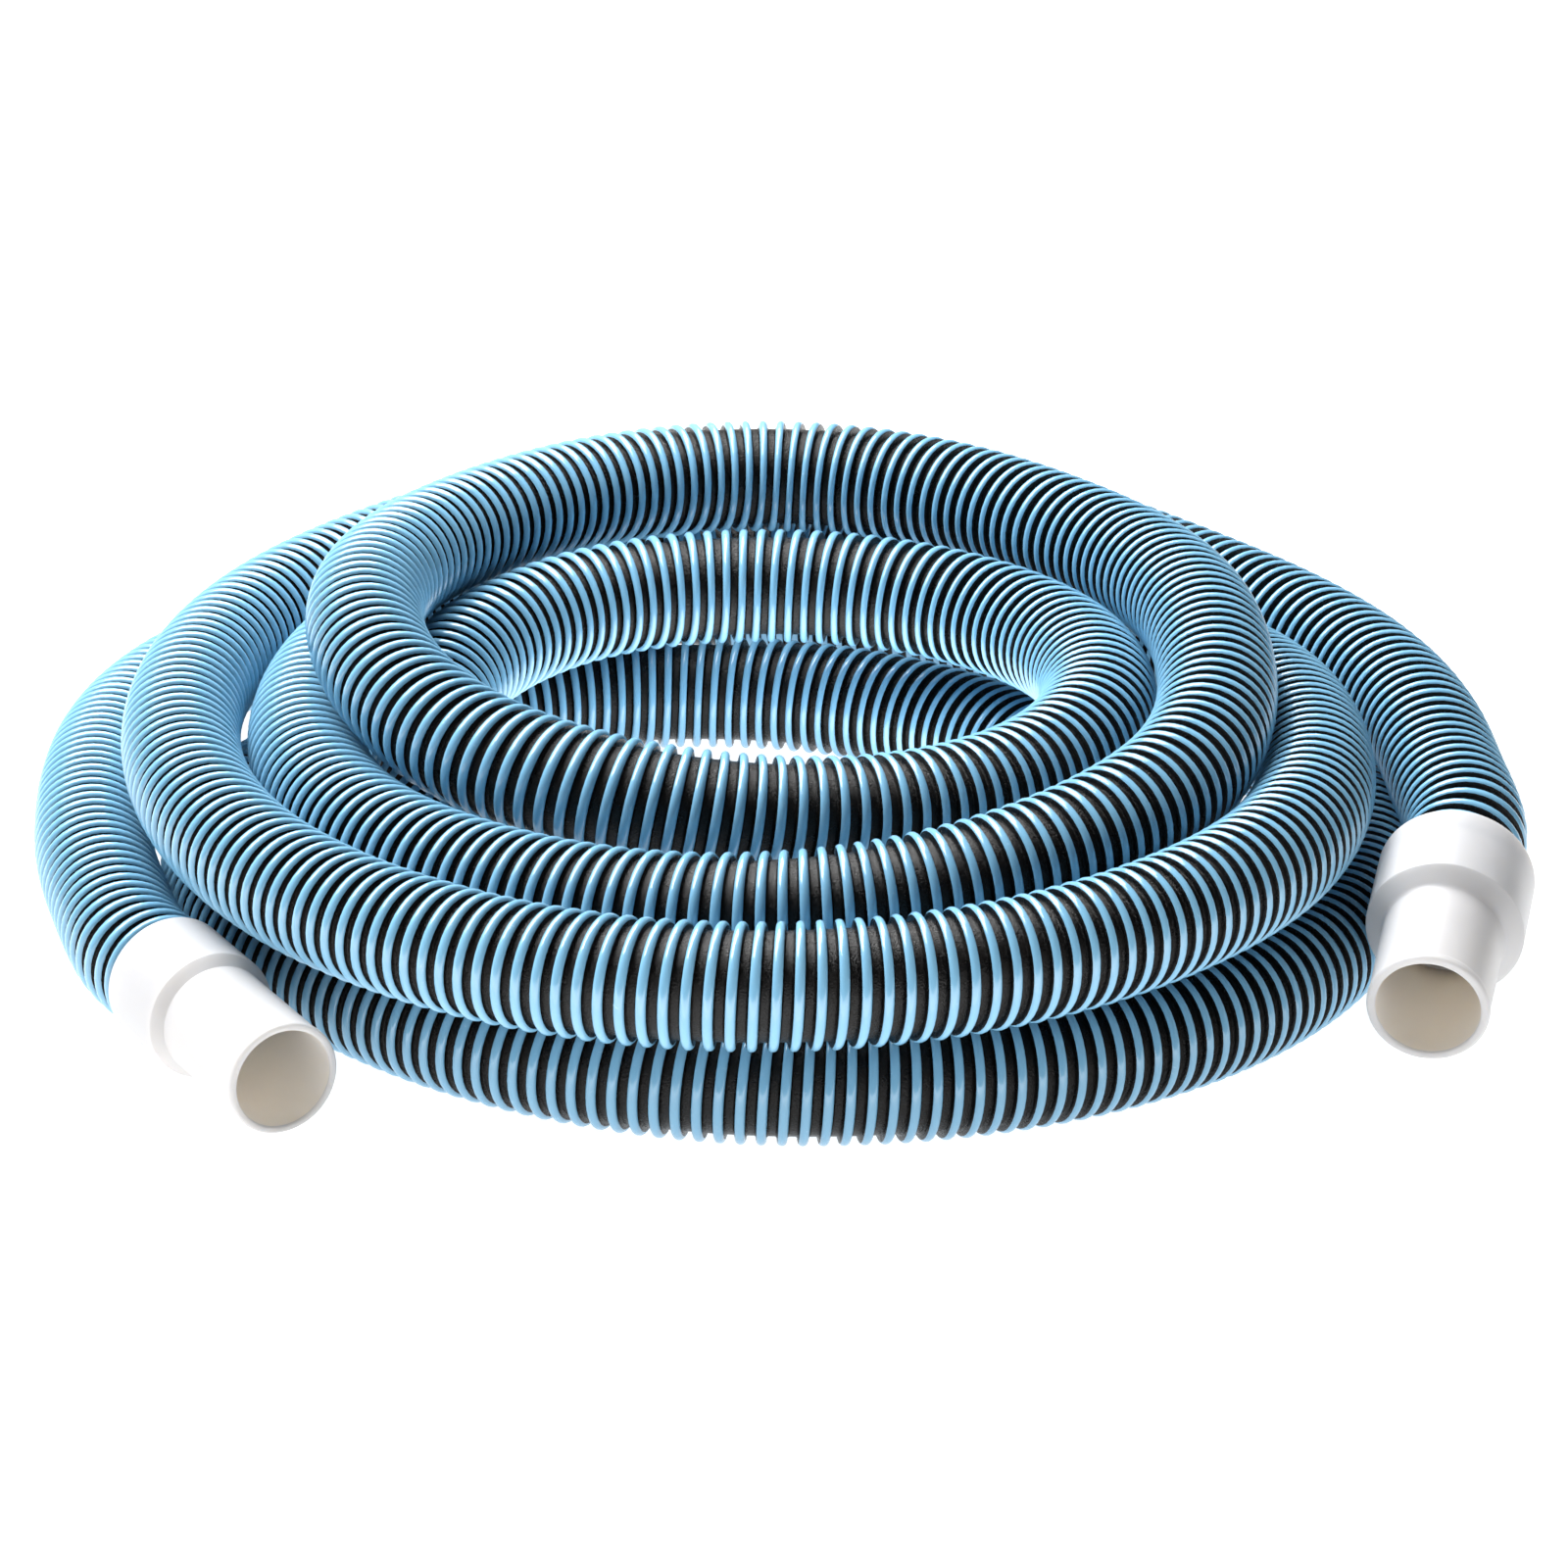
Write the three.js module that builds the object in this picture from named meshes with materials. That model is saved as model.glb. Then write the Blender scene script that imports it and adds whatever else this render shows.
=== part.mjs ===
// A pool vacuum hose lying in a loose coil: a spiral wound suction hose with a fixed cuff
// screwed and glued on one end and a swivel cuff on the other. Millimetres, +Z up.
// The origin is on the ground, at the middle of the whole coil's outline.
import * as THREE from "three";

// Hose, measured over its raised bead
const HOSE_OD = 47.6;
const HOSE_BORE = 38;
const HOSE_SIDES = 12;
const BORE_SIDES = 8;

// Clearance between pieces that touch, and the straight stretch behind each cuff
const GAP = 0.3;
const STRAIGHT = 32;

// Turned pieces
const ROUND_SIDES = 40;
const CORNER_STEPS = 2;

// Fixed cuff: a collar over the hose, a bevelled shoulder and a plain spigot
const FIXED = {
  collarRadius: 25.5, collarLength: 37, bevelLength: 4.5, rootRadius: 21.8,
  spigotLength: 57.5, mouthRadius: 22.2, boreRadius: 19.2, socketDepth: 33,
};

// Swivel cuff: a wider collar that turns on a threaded sleeve inside it
const SWIVEL = {
  collarRadius: 30.4, collarLength: 38, bevelLength: 5.1, rootRadius: 23.8,
  spigotLength: 48.6, mouthRadius: 23.3, boreRadius: 19.8, chamberRadius: 28.2, chamberDepth: 36,
};
const GROOVE = { start: 8, length: 4, depth: 0.9 };
const SLEEVE = { start: 1, socketDepth: 32.5, endWall: 2.5, holeRadius: 19.2 };

// Where each cuff's collar begins, seen from the coil's centre, and the way its mouth points
const FIXED_PLACE = { collar: [-235.5, -142.3, 26.6], heading: 30.7, droop: 1.6 };
const SWIVEL_PLACE = { collar: [259.9, -106.5, 54], heading: -12.2, droop: 10.3 };

// The coil, turn by turn from the fixed cuff. Each pair is the centre line's radius and height
// at an eighth of a turn: front, front left, left, back left, back, back right, right, front
// right. The first two turns lie on the ground and the others climb over them. The lone last
// pair is past the coil's end, and only gives the hose its slope into the swivel cuff.
const COIL = [
  [[289, 24], [275, 25], [279, 30], [315, 24], [271, 25], [232, 24], [234, 24], [236, 24]],
  [[230, 24], [221, 24], [226, 24], [192, 24], [159, 25], [140, 24], [132, 24], [131, 25]],
  [[134, 26], [138, 43], [142, 72], [140, 83], [129, 86], [130, 84], [126, 85], [122, 83]],
  [[132, 89], [154, 103], [167, 117], [180, 114], [205, 108], [177, 108], [170, 109], [194, 96]],
  [[208, 82], [198, 75], [191, 73], [204, 71], [217, 60], [199, 61], [206, 75], [240, 78]],
  [[260, 76], [247, 73], [241, 77], [252, 77], [264, 84], [247, 71], [261, 65], [298, 38]],
  [[292, 13]],
];
const COIL_START = 76;
const COIL_END = 2076;
const COIL_STEPS = 80;

// The middle of the coil's outline on the ground, seen from the coil's own centre
const ORIGIN = [-7.478, 6.799, 0.13];

// A smooth value between the coil's eighths, by the Catmull-Rom rule
function between(values, place) {
  const index = Math.floor(place);
  const part = place - index;
  const last = values.length - 1;
  const [before, from, to, after] = [-1, 0, 1, 2].map(
    (offset) => values[Math.min(Math.max(index + offset, 0), last)]);
  const slope = to - before;
  const bend = 2 * before - 5 * from + 4 * to - after;
  const twist = 3 * from - before - 3 * to + after;
  return from + 0.5 * part * (slope + part * (bend + part * twist));
}

// The hose's centre line at a clockwise angle from the front, seen from above
function coilPoint(degrees) {
  const stations = COIL.flat();
  const radius = between(stations.map((station) => station[0]), degrees / 45);
  const height = between(stations.map((station) => station[1]), degrees / 45);
  const angle = THREE.MathUtils.degToRad(degrees);
  return new THREE.Vector3(-radius * Math.sin(angle), -radius * Math.cos(angle), height);
}

// The direction in which a cuff's mouth points
function mouthDirection(place) {
  const heading = THREE.MathUtils.degToRad(place.heading);
  const droop = THREE.MathUtils.degToRad(place.droop);
  return new THREE.Vector3(
    Math.sin(heading) * Math.cos(droop), -Math.cos(heading) * Math.cos(droop), -Math.sin(droop));
}

// A point on a cuff's axis, so far along it from the back of its collar
function onAxis(place, distance) {
  return new THREE.Vector3(...place.collar).addScaledVector(mouthDirection(place), distance);
}

// The route through every point of the coil, sampled point by point so that neighbouring turns
// bend at the same angles
class HoseRoute extends THREE.CatmullRomCurve3 {
  getUtoTmapping(u) {
    return u;
  }
}

function routePoints() {
  const points = [onAxis(FIXED_PLACE, FIXED.socketDepth - GAP), onAxis(FIXED_PLACE, 0)];
  points.push(onAxis(FIXED_PLACE, -STRAIGHT));
  for (let step = 0; step <= COIL_STEPS; step += 1) {
    points.push(coilPoint(COIL_START + (COIL_END - COIL_START) * step / COIL_STEPS));
  }
  points.push(onAxis(SWIVEL_PLACE, -STRAIGHT), onAxis(SWIVEL_PLACE, 0));
  points.push(onAxis(SWIVEL_PLACE, SLEEVE.start + SLEEVE.socketDepth - GAP));
  return points;
}

function ring(path, radius, sides) {
  for (let side = 0; side < sides; side += 1) {
    const angle = 2 * Math.PI * (side + 0.5) / sides;
    const x = radius * Math.cos(angle);
    const y = radius * Math.sin(angle);
    if (side === 0) path.moveTo(x, y);
    else path.lineTo(x, y);
  }
  path.closePath();
  return path;
}

function hose() {
  const section = ring(new THREE.Shape(), HOSE_OD / 2, HOSE_SIDES);
  section.holes.push(ring(new THREE.Path(), HOSE_BORE / 2, BORE_SIDES));
  const points = routePoints();
  const geometry = new THREE.ExtrudeGeometry(section, {
    extrudePath: new HoseRoute(points), steps: points.length - 1, bevelEnabled: false,
  });
  return mesh("hose", geometry, hoseMaterial());
}

// A rounded corner of a turned profile, as points of an arc from one angle to another
function corner(centreRadius, centreHeight, radius, from, to) {
  const points = [];
  for (let step = 0; step <= CORNER_STEPS; step += 1) {
    const angle = THREE.MathUtils.degToRad(from + (to - from) * step / CORNER_STEPS);
    points.push(new THREE.Vector2(
      centreRadius + radius * Math.cos(angle), centreHeight + radius * Math.sin(angle)));
  }
  return points;
}

// A ring turned from a profile that closes on itself, its axis along +Y
function turned(profile) {
  const points = profile.map((point) => new THREE.Vector2(point.x ?? point[0], point.y ?? point[1]));
  return new THREE.LatheGeometry([...points, points[0].clone()], ROUND_SIDES);
}

// The outside of a cuff from the back of its collar to the rim of its mouth
function cuffOutside(size) {
  const shoulder = size.collarLength + size.bevelLength;
  const length = shoulder + size.spigotLength;
  return [
    ...corner(size.collarRadius - 0.8, 0.8, 0.8, -90, 0),
    [size.collarRadius, size.collarLength - 0.6],
    [size.collarRadius - 0.6, size.collarLength],
    [size.rootRadius + 0.5, shoulder - 0.4],
    [size.rootRadius, shoulder + 0.6],
    ...corner(size.mouthRadius - 1.4, length - 1.4, 1.4, 0, 90),
    [size.boreRadius + 0.5, length],
    [size.boreRadius, length - 0.5],
  ];
}

function fixedCuff() {
  const socket = HOSE_OD / 2 + GAP;
  return mesh("fixed_cuff", turned([
    ...cuffOutside(FIXED),
    [FIXED.boreRadius, FIXED.socketDepth],
    [socket, FIXED.socketDepth],
    [socket, 0],
  ]), cuffMaterial(0.42));
}

function swivelCuff() {
  const grooveRadius = SWIVEL.chamberRadius + GROOVE.depth;
  const grooveEnd = GROOVE.start + GROOVE.length;
  return mesh("swivel_cuff", turned([
    ...cuffOutside(SWIVEL),
    [SWIVEL.boreRadius, SWIVEL.chamberDepth],
    [SWIVEL.chamberRadius, SWIVEL.chamberDepth],
    [SWIVEL.chamberRadius, grooveEnd],
    [grooveRadius, grooveEnd],
    [grooveRadius, GROOVE.start],
    [SWIVEL.chamberRadius, GROOVE.start],
    [SWIVEL.chamberRadius, 0],
  ]), cuffMaterial(0.25));
}

// The sleeve that is screwed on the hose; its rib snaps into the swivel cuff's groove
function threadedSleeve() {
  const outside = SWIVEL.chamberRadius - GAP;
  const rib = outside + GROOVE.depth;
  const ribStart = GROOVE.start + GAP;
  const ribEnd = GROOVE.start + GROOVE.length - GAP;
  const socket = HOSE_OD / 2 + GAP;
  const socketEnd = SLEEVE.start + SLEEVE.socketDepth;
  const end = socketEnd + SLEEVE.endWall - GAP;
  return mesh("threaded_sleeve", turned([
    [socket, SLEEVE.start], [outside, SLEEVE.start],
    [outside, ribStart], [rib, ribStart + GROOVE.depth], [rib, ribEnd], [outside, ribEnd],
    [outside, end], [SLEEVE.holeRadius, end],
    [SLEEVE.holeRadius, socketEnd], [socket, socketEnd],
  ]), cuffMaterial(0.5));
}

function hoseMaterial() {
  return new THREE.MeshStandardMaterial({ color: 0x2f5f86, roughness: 0.45, metalness: 0 });
}

function cuffMaterial(roughness) {
  return new THREE.MeshStandardMaterial({ color: 0xf0f0ee, roughness, metalness: 0 });
}

function mesh(name, geometry, material) {
  const part = new THREE.Mesh(geometry, material);
  part.name = name;
  return part;
}

// Turned pieces on a cuff's axis, which runs from the back of the collar towards the mouth
function onCuffAxis(place, ...parts) {
  const group = new THREE.Group();
  group.position.set(...place.collar);
  group.quaternion.setFromUnitVectors(new THREE.Vector3(0, 1, 0), mouthDirection(place));
  group.add(...parts);
  return group;
}

const vacuumHose = new THREE.Group();
vacuumHose.position.set(...ORIGIN.map((value) => -value));
vacuumHose.add(
  hose(),
  onCuffAxis(FIXED_PLACE, fixedCuff()),
  onCuffAxis(SWIVEL_PLACE, swivelCuff(), threadedSleeve()),
);

export default vacuumHose;
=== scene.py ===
# %% [markdown]
# # A pool vacuum hose in a loose coil
# The hose carries water from a vacuum head on the pool's floor to the skimmer. It has to bend
# anywhere without collapsing, so it is a thin soft wall held open by a stiff bead wound round it.
# This lesson builds that bead turn by turn around a curve, puts a turned cuff on each end, and
# lights the whole as a white studio table would.

import math

import bpy
import numpy as np
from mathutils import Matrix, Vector


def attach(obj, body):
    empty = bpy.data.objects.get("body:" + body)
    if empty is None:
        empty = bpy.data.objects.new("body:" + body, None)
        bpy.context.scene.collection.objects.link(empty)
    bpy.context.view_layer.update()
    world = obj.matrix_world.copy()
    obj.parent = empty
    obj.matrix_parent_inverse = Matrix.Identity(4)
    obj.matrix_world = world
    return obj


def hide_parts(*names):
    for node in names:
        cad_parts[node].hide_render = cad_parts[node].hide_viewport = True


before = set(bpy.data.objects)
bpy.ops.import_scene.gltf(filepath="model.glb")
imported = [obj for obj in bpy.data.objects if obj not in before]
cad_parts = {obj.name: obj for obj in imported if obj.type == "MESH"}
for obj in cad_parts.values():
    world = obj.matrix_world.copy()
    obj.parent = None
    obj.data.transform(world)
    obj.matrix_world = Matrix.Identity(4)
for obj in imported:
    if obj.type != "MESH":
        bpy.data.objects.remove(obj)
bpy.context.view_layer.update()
MM = 0.001

# %% [markdown]
# ## The camera
# A long lens from a few steps away, looking down on the coil at about 22 degrees, keeps the near
# and the far turns almost the same size, as in a catalogue picture.

# %% The camera
CAMERA_PLACE = (7.478, -2297.1, 985.7)
CAMERA_TILT = 67.75
CAMERA_LENS = 141.05


def add_camera():
    data = bpy.data.cameras.new("camera")
    data.lens = CAMERA_LENS
    data.sensor_width = 36
    data.clip_end = 100
    camera = bpy.data.objects.new("camera", data)
    camera.location = Vector(CAMERA_PLACE) * MM
    camera.rotation_euler = (math.radians(CAMERA_TILT), 0, 0)
    bpy.context.scene.collection.objects.link(camera)
    bpy.context.scene.camera = camera
    return camera


add_camera()
print("camera at", CAMERA_PLACE, "mm")

# %% [markdown]
# ## The hose's route
# The hose is seven metres long and lies in five and a half turns. The route is a list of the
# centre line's radius and height at each eighth of a turn, in millimetres, the same list as in
# the CAD model, so the look and the collision shape are one hose. A Catmull-Rom curve runs
# through the list and, with a short straight stretch behind each cuff, gives the centre line.

# %% The route's sizes
HOSE_OD = 47.6
HOSE_BORE = 38
GAP = 0.3
STRAIGHT = 32
ORIGIN = np.array([-7.478, 6.799, 0.13])
COIL = [
    [(289, 24), (275, 25), (279, 30), (315, 24), (271, 25), (232, 24), (234, 24), (236, 24)],
    [(230, 24), (221, 24), (226, 24), (192, 24), (159, 25), (140, 24), (132, 24), (131, 25)],
    [(134, 26), (138, 43), (142, 72), (140, 83), (129, 86), (130, 84), (126, 85), (122, 83)],
    [(132, 89), (154, 103), (167, 117), (180, 114), (205, 108), (177, 108), (170, 109), (194, 96)],
    [(208, 82), (198, 75), (191, 73), (204, 71), (217, 60), (199, 61), (206, 75), (240, 78)],
    [(260, 76), (247, 73), (241, 77), (252, 77), (264, 84), (247, 71), (261, 65), (298, 38)],
    [(292, 13)],
]
COIL_START = 76
COIL_END = 2076
COIL_STEP = 8
STATION = 45
SPACING = 0.5
SPANS = 40


def cuff_place(collar, heading, droop):
    """Where a cuff's collar begins, and the direction in which its mouth points."""
    heading, droop = math.radians(heading), math.radians(droop)
    across = math.cos(droop)
    axis = (math.sin(heading) * across, -math.cos(heading) * across, -math.sin(droop))
    return np.array(collar) - ORIGIN, np.array(axis)


FIXED_PLACE = cuff_place((-235.5, -142.3, 26.6), 30.7, 1.6)
SWIVEL_PLACE = cuff_place((259.9, -106.5, 54), -12.2, 10.3)
FIXED_SOCKET = 33
SWIVEL_SOCKET = 33.5


def catmull_rom(values, places):
    """Smooth values between stations: values is one row per station, places are in stations."""
    index = np.floor(places).astype(int)
    part = (places - index)[:, None]
    before, start, end, after = (
        values[np.clip(index + offset, 0, len(values) - 1)] for offset in (-1, 0, 1, 2)
    )
    slope = end - before
    bend = 2 * before - 5 * start + 4 * end - after
    twist = 3 * start - before - 3 * end + after
    return start + 0.5 * part * (slope + part * (bend + part * twist))


def coil_points():
    """The coil's points, worked out turn by turn from the radius and height lists."""
    stations = np.array([pair for turn in COIL for pair in turn], float)
    degrees = np.arange(COIL_START, COIL_END + 1, COIL_STEP)
    radius, height = catmull_rom(stations, degrees / STATION).T
    angle = np.radians(degrees)
    return np.column_stack([-radius * np.sin(angle), -radius * np.cos(angle), height]) - ORIGIN


def on_axis(place, distances):
    collar, axis = place
    return collar + np.outer(distances, axis)


def centre_line():
    """The hose's centre line from end to end, as points an even distance apart."""
    points = np.concatenate([
        on_axis(FIXED_PLACE, [FIXED_SOCKET - GAP, 0, -STRAIGHT]),
        coil_points(),
        on_axis(SWIVEL_PLACE, [-STRAIGHT, 0, SWIVEL_SOCKET - GAP]),
    ])
    fine = catmull_rom(points, np.linspace(0, len(points) - 1.001, SPANS * len(points)))
    run = np.concatenate([[0], np.cumsum(np.linalg.norm(np.diff(fine, axis=0), axis=1))])
    places = np.linspace(0, run[-1], int(run[-1] / SPACING))
    return np.column_stack([np.interp(places, run, fine[:, k]) for k in range(3)]), run[-1]


LINE, LENGTH = centre_line()
print(f"hose {LENGTH / 1000:.2f} m long, lowest centre {LINE[:, 2].min():.1f} mm up")

# %% [markdown]
# A tube needs a pair of axes across the line at each point. Turning each pair only as much as
# the line itself turns keeps them from spinning, so the bead's pitch stays even.


# %% Axes along the line
def unit(vectors):
    return vectors / np.linalg.norm(vectors, axis=-1, keepdims=True)


def axes_along(line):
    """Two unit vectors across the line at each point, carried along it without twist."""
    tangent = unit(np.gradient(line, axis=0))
    side = np.empty_like(line)
    side[0] = unit(np.cross(tangent[0], (0, 0, 1)))
    for k in range(1, len(line)):
        carried = side[k - 1] - tangent[k] * (side[k - 1] @ tangent[k])
        side[k] = carried / math.sqrt(carried @ carried)
    return side, np.cross(tangent, side)


SIDE, OTHER = axes_along(LINE)


def at(table, distances):
    """A table of vectors along the line, read at any distances from its start."""
    place = distances / LENGTH * (len(LINE) - 1)
    low = np.clip(np.floor(place).astype(int), 0, len(LINE) - 2)
    part = (place - low)[..., None]
    return table[low] * (1 - part) + table[low + 1] * part


def around_line(distances, angles, radii):
    """Points at a distance along the hose, an angle round it and a radius from its centre."""
    across = np.cos(angles)[..., None] * at(SIDE, distances)
    across = across + np.sin(angles)[..., None] * at(OTHER, distances)
    return at(LINE, distances) + across * radii[..., None]


# %% [markdown]
# ## Meshes from rows of points
# Both the wall and the bead are grids of points, so one function turns a grid into a mesh.


# %% Grids into meshes
def grid_mesh(name, grid, wrap_rows=False, caps=False):
    """A mesh from a grid of points in millimetres, whose every row closes on itself."""
    rows, columns = grid.shape[:2]
    index = np.arange(rows * columns).reshape(rows, columns)
    if wrap_rows:
        index = np.vstack([index, index[:1]])
    index = np.hstack([index, index[:, :1]])
    quads = np.stack([index[:-1, :-1], index[:-1, 1:], index[1:, 1:], index[1:, :-1]], -1)
    quads = quads.reshape(-1, 4)
    ends = [index[0, :columns][::-1], index[-1, :columns]] if caps else []
    mesh = bpy.data.meshes.new(name)
    corners = np.concatenate([quads.ravel(), *ends]).astype(np.int32)
    counts = [4] * len(quads) + [len(end) for end in ends]
    starts = np.concatenate([[0], np.cumsum(counts)[:-1]]).astype(np.int32)
    mesh.vertices.add(rows * columns)
    mesh.vertices.foreach_set("co", (grid * MM).astype(np.float32).ravel())
    mesh.loops.add(len(corners))
    mesh.loops.foreach_set("vertex_index", corners)
    mesh.polygons.add(len(counts))
    mesh.polygons.foreach_set("loop_start", starts)
    mesh.update(calc_edges=True)
    mesh.validate()
    mesh.shade_smooth()
    return mesh


def add_piece(name, mesh, finish, body):
    piece = bpy.data.objects.new(name, mesh)
    bpy.context.scene.collection.objects.link(piece)
    mesh.materials.append(finish)
    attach(piece, body)
    return piece


# %% [markdown]
# ## Materials
# Shader maths reads best as maths, so a small class wraps a node socket and gives it plus and
# times, the two operators that these finishes need. Every node is made on the way.


# %% Shader maths
class Socket:
    """A shader socket with arithmetic: a + b, a * b and 2 * a make Math nodes."""

    def __init__(self, tree, socket):
        self.tree = tree
        self.socket = socket

    def node(self, kind, inputs=(), output=0, **settings):
        """Any node on this tree, with its inputs by name or number, as the socket it gives."""
        node = self.tree.nodes.new(kind)
        for key, value in settings.items():
            setattr(node, key, value)
        for key, value in dict(inputs).items():
            if isinstance(value, Socket):
                self.tree.links.new(value.socket, node.inputs[key])
            else:
                node.inputs[key].default_value = value
        return Socket(self.tree, node.outputs[output])

    def math(self, operation, *values):
        return self.node("ShaderNodeMath", dict(enumerate(values)), operation=operation)

    def __add__(self, other):
        return self.math("ADD", self, other)

    def __radd__(self, other):
        return self.math("ADD", other, self)

    def __mul__(self, other):
        return self.math("MULTIPLY", self, other)

    def __rmul__(self, other):
        return self.math("MULTIPLY", other, self)

    def ramp(self, low, high, to_low=0.0, to_high=1.0):
        """This value carried smoothly from the range low..high to the range to_low..to_high."""
        inputs = {0: self, 1: low, 2: high, 3: to_low, 4: to_high}
        return self.node("ShaderNodeMapRange", inputs, interpolation_type="SMOOTHSTEP")

    def mix(self, first, second):
        """A colour between first and second, by this value as the share of the second."""
        inputs = {0: self, 6: first, 7: second}
        return self.node("ShaderNodeMix", inputs, output=2, data_type="RGBA")

    def noise(self, scale, detail=3, roughness=0.55):
        inputs = {"Vector": self, "Scale": scale, "Detail": detail, "Roughness": roughness}
        return self.node("ShaderNodeTexNoise", inputs)

    def stretch(self, x, y, z):
        """A vector with each of its parts scaled."""
        inputs = {0: self, 1: (x, y, z)}
        return self.node("ShaderNodeVectorMath", inputs, operation="MULTIPLY")


def material(name, **constants):
    """A Principled material; returns it, its position socket and a function that links inputs."""
    made = bpy.data.materials.new(name)
    made.use_nodes = True
    tree = made.node_tree
    shader = tree.nodes["Principled BSDF"]
    for key, value in constants.items():
        shader.inputs[key.replace("_", " ")].default_value = value
    place = tree.nodes.new("ShaderNodeTexCoord")

    def link(**sockets):
        for key, value in sockets.items():
            tree.links.new(value.socket, shader.inputs[key.replace("_", " ")])

    return made, Socket(tree, place.outputs["Object"]), link


def bump(height, distance, strength=1.0):
    return height.node(
        "ShaderNodeBump", {"Height": height, "Distance": distance, "Strength": strength}
    )


# %% [markdown]
# ### The bead
# The bead is stiff polyethylene, coloured right through and drawn from a die, so it is glossy
# with faint ripples. Use scuffs it into tiny pale patches that are less glossy.


# %% The bead's material
BLUE_DEEP = (0.22, 0.51, 0.75, 1)
BLUE_PALE = (0.26, 0.56, 0.79, 1)
BLUE_WORN = (0.42, 0.68, 0.88, 1)


def bead_material():
    made, place, link = material("hose_bead", Specular_IOR_Level=0.9)
    mottle = place.noise(35, 4)
    scuff = place.noise(260, 5, 0.7).ramp(0.56, 0.72)
    blue = mottle.mix(BLUE_DEEP, BLUE_PALE)
    link(
        Base_Color=(scuff * 0.2).mix(blue, BLUE_WORN),
        Roughness=mottle.ramp(0.3, 0.7, 0.13, 0.2) + scuff * 0.12,
        Normal=bump(place.noise(420, 3), 0.00012, 0.5),
    )
    return made


# %% [markdown]
# ### The web
# Between the turns of the bead the wall is a thin soft web, nearly black. It wrinkles a little
# as the hose bends, and it carries a fine leathery grain and a trace of brown dust.


# %% The web's material
WEB_CLEAN = (0.0025, 0.0022, 0.0025, 1)
WEB_DUSTY = (0.006, 0.0045, 0.0035, 1)


def web_material():
    made, place, link = material("hose_web", Specular_IOR_Level=0.35)
    dust = place.noise(60, 5, 0.6).ramp(0.42, 0.68)
    grain = place.noise(1500, 3, 0.6)
    creases = place.noise(700, 3, 0.6)
    link(
        Base_Color=dust.mix(WEB_CLEAN, WEB_DUSTY),
        Roughness=dust.ramp(0, 1, 0.22, 0.32) + grain * 0.06,
        Normal=bump(grain + creases * 0.35, 0.00045, 1.0),
    )
    return made


# %% [markdown]
# ### The cuffs
# The cuffs are white moulded plastic. The fixed one has a satin skin and the swivel one is
# polished; both have a slow waviness from the mould and a few fine scratches.


# %% The cuffs' materials
SCATTER = (1.0, 0.9, 0.75)
YELLOWED = (0.98, 0.965, 0.96)
BORE_SHADED = (0.87, 0.79, 0.71, 1)
BORE_LIT = (0.90, 0.83, 0.76, 1)


def cuff_material(name, colour, roughness, wave):
    made, place, link = material(
        name, Specular_IOR_Level=0.4, Subsurface_Weight=0.5, Subsurface_Scale=0.01,
        Subsurface_Radius=SCATTER,
    )
    cloud = place.noise(22, 3)
    scratch = place.stretch(1, 1, 9).noise(160, 4, 0.75).ramp(0.60, 0.74)
    warm = tuple(part * shade for part, shade in zip(colour, YELLOWED)) + (1,)
    link(
        Base_Color=cloud.mix((*colour, 1), warm),
        Roughness=cloud.ramp(0.3, 0.7, roughness, roughness + 0.06) + scratch * 0.12,
        Normal=bump(cloud + scratch * 0.05, wave, 0.4),
    )
    return made


def bore_material():
    made, place, link = material(
        "cuff_bore", Specular_IOR_Level=0.35, Subsurface_Weight=0.6, Subsurface_Scale=0.012,
        Subsurface_Radius=SCATTER,
    )
    cloud = place.noise(30, 4)
    link(
        Base_Color=cloud.mix(BORE_SHADED, BORE_LIT),
        Roughness=cloud.ramp(0.3, 0.7, 0.42, 0.55),
        Normal=bump(place.noise(200, 3), 0.0002, 0.3),
    )
    return made


BEAD = bead_material()
WEB = web_material()
print("materials", [made.name for made in bpy.data.materials])

# %% [markdown]
# ## The hose's wall
# The wall is one closed tube: out along the web's outer face, across the cut end, and back
# along the bore. It follows the line with 48 points round.

# %% The wall
WALL_RADIUS = 20.3
WALL_SIDES = 48
RING_SPACING = 4.0
WALL_SHARP = 50


def add_wall():
    distances = np.linspace(0, LENGTH, int(LENGTH / RING_SPACING))
    angles = np.arange(WALL_SIDES) * 2 * math.pi / WALL_SIDES
    rows = len(distances)
    outside = np.full(rows, WALL_RADIUS)
    inside = np.full(rows, HOSE_BORE / 2)
    there_and_back = np.concatenate([distances, distances[::-1]])
    radii = np.concatenate([outside, inside])
    along, around = np.meshgrid(there_and_back, angles, indexing="ij")
    grid = around_line(along, around, np.repeat(radii[:, None], WALL_SIDES, axis=1))
    mesh = grid_mesh("hose_wall", grid[:, ::-1], wrap_rows=True)
    mesh.set_sharp_from_angle(angle=math.radians(WALL_SHARP))
    wall = add_piece("hose_wall", mesh, WEB, "hose")
    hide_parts("hose")
    return wall, at(LINE, distances) * MM


wall, wall_path = add_wall()
print("wall", len(wall.data.polygons), "faces")
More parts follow.
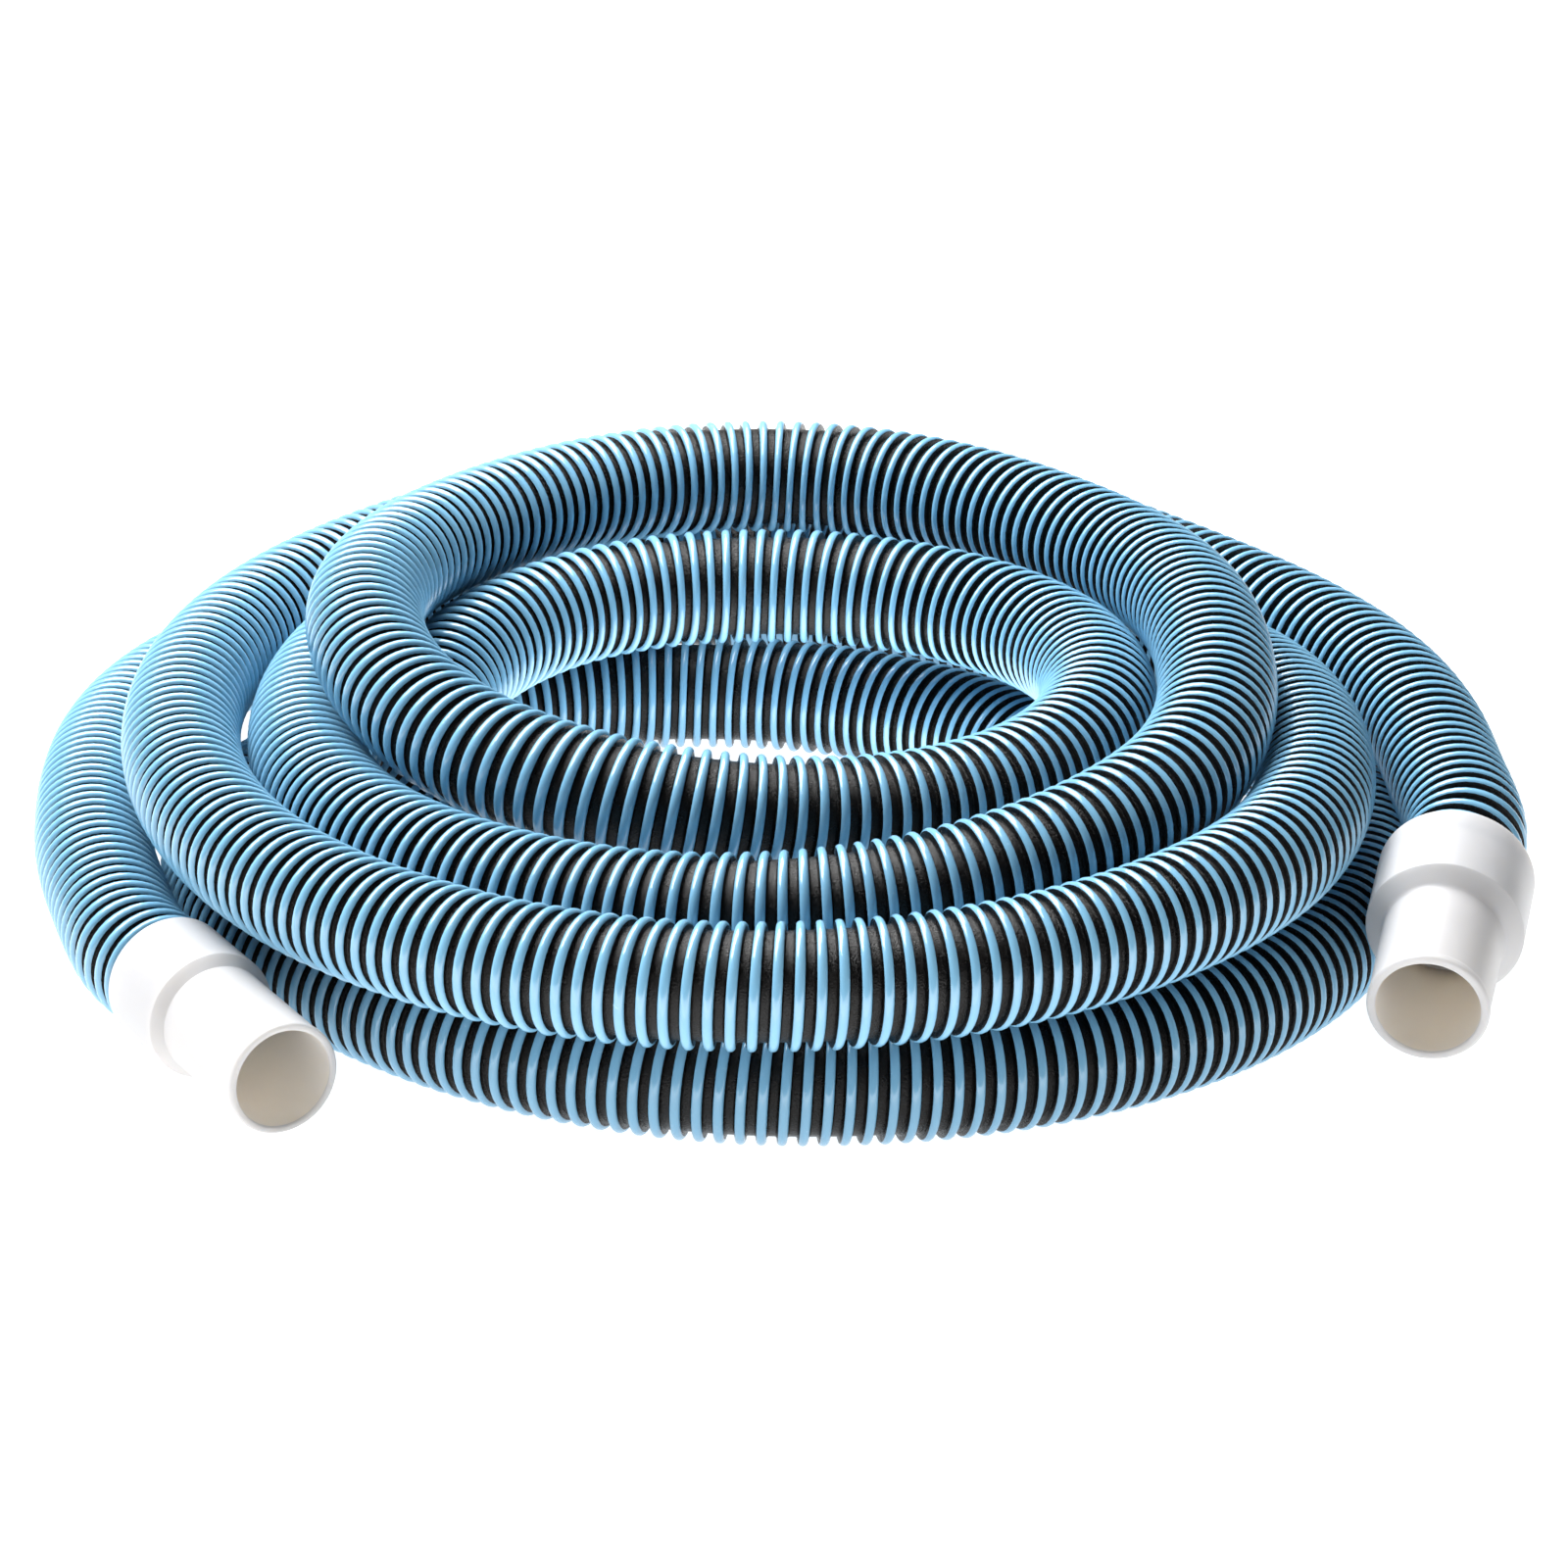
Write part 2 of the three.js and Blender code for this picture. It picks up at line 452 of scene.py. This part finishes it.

# %% [markdown]
# ## The bead
# The bead is a nose-shaped ridge wound round the wall as a left-handed screw, a turn every
# 7.35 millimetres. Only its cap is blue, between two angles of its round nose: the web's dark
# plastic laps up its flanks. It reaches higher on the side towards the swivel cuff, and that
# extra dark is painted shade, standing for the shade on that flank. The bead is swept as a row
# of profiles, each at its own angle and distance. The turns, close to a thousand, are parted
# into lengths, so that no one piece is too heavy to handle. Each flank is a list of offsets
# along the hose and heights above the wall.

# %% The bead
BEAD_PITCH = 7.35
BEAD_RADIUS = 1.85
BEAD_SIDES = 40
BEAD_LENGTHS = 8
# The dark reaches 32 degrees up the flank towards the swivel cuff and 8 on the other: the extra dark is
# painted shade.
CAP_FROM = 32
CAP_TO = 172
CAP_STEPS = 7
FLANK = [(1.86, 1.2), (1.98, 0.45), (2.35, 0.08), (2.6, -0.2)]
HAND = -1


def bead_profile():
    """Offsets along the hose and radii of the ridge's section, and which of its sides are blue."""
    degrees = [0, *np.linspace(CAP_FROM, CAP_TO, CAP_STEPS + 1), 180]
    angles = np.radians(degrees)
    centre = HOSE_OD / 2 - BEAD_RADIUS
    along = [offset for offset, _ in FLANK[::-1]]
    radii = [WALL_RADIUS + height for _, height in FLANK[::-1]]
    along = np.array([*along, *(BEAD_RADIUS * np.cos(angles)), *[-offset for offset in along[::-1]]])
    radii = np.array([*radii, *(centre + BEAD_RADIUS * np.sin(angles)), *radii[::-1]])
    cap = np.ones(len(along), int)
    cap[len(FLANK) + 1:len(FLANK) + 1 + CAP_STEPS] = 0
    return along, radii, cap


def add_bead_length(number, first, last):
    along, radii, cap = bead_profile()
    steps = round((last - first) * BEAD_SIDES)
    turns = np.linspace(first, last, steps + 1)
    distances = turns[:, None] * BEAD_PITCH + along[None, :]
    angles = np.repeat(HAND * 2 * math.pi * turns[:, None], len(along), axis=1)
    grid = around_line(
        np.clip(distances, 0, LENGTH), angles, np.repeat(radii[None, :], len(turns), axis=0)
    )
    mesh = grid_mesh(f"hose_bead_{number}", grid, caps=True)
    piece = add_piece(f"hose_bead_{number}", mesh, BEAD, "hose")
    mesh.materials.append(WEB)
    slots = np.concatenate([np.tile(cap, steps), [1, 1]]).astype(np.int32)
    mesh.polygons.foreach_set("material_index", slots)
    return piece


def add_bead():
    margin = FLANK[-1][0] / BEAD_PITCH
    ends = np.linspace(margin, LENGTH / BEAD_PITCH - margin, BEAD_LENGTHS + 1)
    return [add_bead_length(k + 1, ends[k], ends[k + 1]) for k in range(BEAD_LENGTHS)]


beads = add_bead()
print("bead", sum(len(piece.data.polygons) for piece in beads), "faces in", len(beads), "lengths")

# %% [markdown]
# ## The cuffs
# Each cuff is turned: a profile drawn as corners, with a radius at each corner, and spun round
# the cuff's axis. Real mouldings have no sharp corners, and the small radii catch the light.


# %% Turned pieces
ROUND_SIDES = 160
CORNER_STEPS = 5
TURNED_SHARP = 38


def rounded(corners):
    """A closed profile whose corners, given as radius, height and fillet, become short arcs."""
    points = []
    spots = np.array([corner[:2] for corner in corners], float)
    for k, (_, _, fillet) in enumerate(corners):
        here, before, after = spots[k], spots[k - 1], spots[(k + 1) % len(spots)]
        if not fillet:
            points.append(here)
            continue
        to_before, to_after = unit(before - here), unit(after - here)
        half = math.acos(np.clip(to_before @ to_after, -1, 1)) / 2
        centre = here + unit(to_before + to_after) * fillet / math.sin(half)
        start = here + to_before * fillet / math.tan(half) - centre
        end = here + to_after * fillet / math.tan(half) - centre
        sweep = math.acos(np.clip(unit(start) @ unit(end), -1, 1))
        for step in range(CORNER_STEPS + 1):
            part = step / CORNER_STEPS
            weights = (math.sin((1 - part) * sweep), math.sin(part * sweep))
            points.append(centre + (start * weights[0] + end * weights[1]) / math.sin(sweep))
    return np.array(points)


def turned_mesh(name, place, profile):
    """A closed ring turned from a profile of radii and heights, placed on a cuff's axis."""
    collar, axis = place
    side = unit(np.cross(axis, (0, 0, 1)))
    other = np.cross(axis, side)
    angles = np.arange(ROUND_SIDES) * 2 * math.pi / ROUND_SIDES
    across = np.outer(np.cos(angles), side) + np.outer(np.sin(angles), other)
    grid = collar + profile[:, None, 1:] * axis + profile[:, None, :1] * across[None]
    mesh = grid_mesh(name, grid, wrap_rows=True)
    mesh.set_sharp_from_angle(angle=math.radians(TURNED_SHARP))
    return mesh


LIP_START, LIP_END = 4.0, 2.6
LIP_RISE = 0.35
RIM_TAPER = 0.1


def cuff_outside(size):
    """A cuff's outside from the back of its collar to the mouth, and the mouth's rounded rim."""
    shoulder = size["collar_length"] + size["bevel"]
    length = shoulder + size["spigot_length"]
    return [
        (size["collar"], 0, 0.7),
        (size["collar"], size["collar_length"], 0.9),
        (size["root"], shoulder, size["fillet"]),
        (size["mouth"] - LIP_RISE, length - LIP_START, 1.5),
        (size["mouth"], length - LIP_END, 0.9),
        (size["mouth"] - RIM_TAPER, length, 1.3),
        (size["bore"], length, 0.9),
    ]


FIXED = {
    "collar": 25.5, "collar_length": 37, "bevel": 4.5, "root": 21.8, "fillet": 0.6,
    "spigot_length": 57.5, "mouth": 22.2, "bore": 19.2,
}
SWIVEL = {
    "collar": 30.4, "collar_length": 38, "bevel": 5.1, "root": 23.3, "fillet": 3.2,
    "spigot_length": 48.6, "mouth": 23.3, "bore": 19.8,
}
RIM_DEPTH = 1.2
BORE_MARGIN = 0.5


def paint_bore(mesh, place, size, bore, first):
    """Gives the faces inside the bore, from a depth to the mouth, a material of their own."""
    mesh.materials.append(bore)
    collar, axis = place
    length = size["collar_length"] + size["bevel"] + size["spigot_length"]
    for face in mesh.polygons:
        offset = np.array(face.center) / MM - collar
        depth = offset @ axis
        radius = np.linalg.norm(offset - depth * axis)
        if first < depth < length - RIM_DEPTH and radius < size["bore"] + BORE_MARGIN:
            face.material_index = 1


def add_fixed_cuff(finish, bore):
    socket = HOSE_OD / 2 + GAP
    profile = rounded([
        *cuff_outside(FIXED),
        (FIXED["bore"], FIXED_SOCKET, 0),
        (socket, FIXED_SOCKET, 0),
        (socket, 0, 0.4),
    ])
    mesh = turned_mesh("fixed_cuff_body", FIXED_PLACE, profile)
    cuff = add_piece("fixed_cuff_body", mesh, finish, "hose")
    paint_bore(mesh, FIXED_PLACE, FIXED, bore, FIXED_SOCKET)
    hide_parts("fixed_cuff")
    return cuff


CHAMBER = 28.2
CHAMBER_DEPTH = 36
GROOVE_START, GROOVE_LENGTH, GROOVE_DEPTH = 8, 4, 0.9
SLEEVE_START = 1
SLEEVE_BORE = 19.2
SLEEVE_STOP = 2.5


def add_swivel_cuff(finish, bore):
    groove = CHAMBER + GROOVE_DEPTH
    profile = rounded([
        *cuff_outside(SWIVEL),
        (SWIVEL["bore"], CHAMBER_DEPTH, 0),
        (CHAMBER, CHAMBER_DEPTH, 0),
        (CHAMBER, GROOVE_START + GROOVE_LENGTH, 0),
        (groove, GROOVE_START + GROOVE_LENGTH, 0),
        (groove, GROOVE_START, 0),
        (CHAMBER, GROOVE_START, 0),
        (CHAMBER, 0, 0.5),
    ])
    mesh = turned_mesh("swivel_cuff_body", SWIVEL_PLACE, profile)
    cuff = add_piece("swivel_cuff_body", mesh, finish, "swivel_cuff")
    paint_bore(mesh, SWIVEL_PLACE, SWIVEL, bore, CHAMBER_DEPTH)
    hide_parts("swivel_cuff")
    return cuff


def add_sleeve(finish):
    outside = CHAMBER - GAP
    rib = outside + GROOVE_DEPTH
    rib_start = GROOVE_START + GAP
    rib_end = GROOVE_START + GROOVE_LENGTH - GAP
    socket = HOSE_OD / 2 + GAP
    end = SWIVEL_SOCKET + SLEEVE_STOP - GAP
    profile = rounded([
        (socket, SLEEVE_START, 0.3), (outside, SLEEVE_START, 0.5),
        (outside, rib_start, 0), (rib, rib_start + GROOVE_DEPTH, 0.2),
        (rib, rib_end, 0), (outside, rib_end, 0),
        (outside, end, 0.4), (SLEEVE_BORE, end, 0.3),
        (SLEEVE_BORE, SWIVEL_SOCKET, 0), (socket, SWIVEL_SOCKET, 0),
    ])
    mesh = turned_mesh("sleeve_body", SWIVEL_PLACE, profile)
    sleeve = add_piece("sleeve_body", mesh, finish, "hose")
    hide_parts("threaded_sleeve")
    return sleeve


SATIN_WHITE = (0.66, 0.65, 0.65)
POLISHED_WHITE = (0.66, 0.66, 0.67)
SLEEVE_WHITE = (0.78, 0.77, 0.75)
BORE = bore_material()
add_fixed_cuff(cuff_material("cuff_satin", SATIN_WHITE, 0.42, 0.0010), BORE)
add_swivel_cuff(cuff_material("cuff_gloss", POLISHED_WHITE, 0.34, 0.0006), BORE)
add_sleeve(cuff_material("sleeve", SLEEVE_WHITE, 0.4, 0.0008))
print("cuffs made")

# %% [markdown]
# ## The studio
# A glowing white table under one soft light, which hangs behind the coil and to its left. The
# light is twice as long as it is deep and the room is dim, and the glossy bead needs both: its
# crest keeps a thin bright line while its flanks fall dark. The table glows more from a tenth of
# a metre in front of the coil onwards, outside the coil's own shade, and in the coil's middle.


# %% The studio
TABLE_GREY = (0.5, 0.5, 0.5, 1)
TABLE_PALE = (0.52, 0.52, 0.52, 1)


def add_glowing_plane(name, centre, size, strength):
    """A flat surface that glows white."""
    width, depth = size
    x, y, z = centre
    corners = [(-1, -1), (1, -1), (1, 1), (-1, 1)]
    mesh = bpy.data.meshes.new(name)
    mesh.from_pydata([(x + a * width / 2, y + b * depth / 2, z) for a, b in corners], [], [(0, 1, 2, 3)])
    plane = bpy.data.objects.new(name, mesh)
    bpy.context.scene.collection.objects.link(plane)
    made, place, link = material(
        name, Roughness=0.9, Specular_IOR_Level=0.0,
        Emission_Color=(1, 1, 1, 1), Emission_Strength=strength,
    )
    link(Base_Color=place.noise(1.5, 2).mix(TABLE_GREY, TABLE_PALE))
    mesh.materials.append(made)
    return plane


def add_softbox(name, place, look_at, width, depth, brightness):
    """A rectangular soft light whose face has the given brightness."""
    data = bpy.data.lights.new(name, "AREA")
    data.shape = "RECTANGLE"
    data.size = width
    data.size_y = depth
    data.energy = brightness * math.pi * width * depth
    light = bpy.data.objects.new(name, data)
    light.location = place
    direction = Vector(look_at) - Vector(place)
    light.rotation_euler = direction.to_track_quat("-Z", "Y").to_euler()
    bpy.context.scene.collection.objects.link(light)
    return light


def set_world(strength):
    world = bpy.data.worlds.new("studio")
    world.use_nodes = True
    background = world.node_tree.nodes["Background"]
    background.inputs["Color"].default_value = (1, 1, 1, 1)
    background.inputs["Strength"].default_value = strength
    bpy.context.scene.world = world


TABLE_GLOW, FRONT_GLOW, MIDDLE_GLOW = 0.95, 2.3, 3.5
SOFTBOX_PLACE = (-0.6, 0.6, 1.55)
SOFTBOX_SIZE = (2.2, 1.1)
SOFTBOX_BRIGHTNESS = 12.5
ROOM_BRIGHTNESS = 0.1
add_glowing_plane("floor", (0, 0, -0.002), (12, 12), TABLE_GLOW)
add_glowing_plane("front_glow", (0, -0.985, -0.001), (3.0, 1.2), FRONT_GLOW)
add_glowing_plane("middle_glow", (0, 0.01, -0.001), (0.18, 0.18), MIDDLE_GLOW)
add_softbox("overhead_softbox", SOFTBOX_PLACE, (0, 0, 0), *SOFTBOX_SIZE, SOFTBOX_BRIGHTNESS)
set_world(ROOM_BRIGHTNESS)
bpy.context.scene.view_settings.view_transform = "Standard"
print("studio ready")
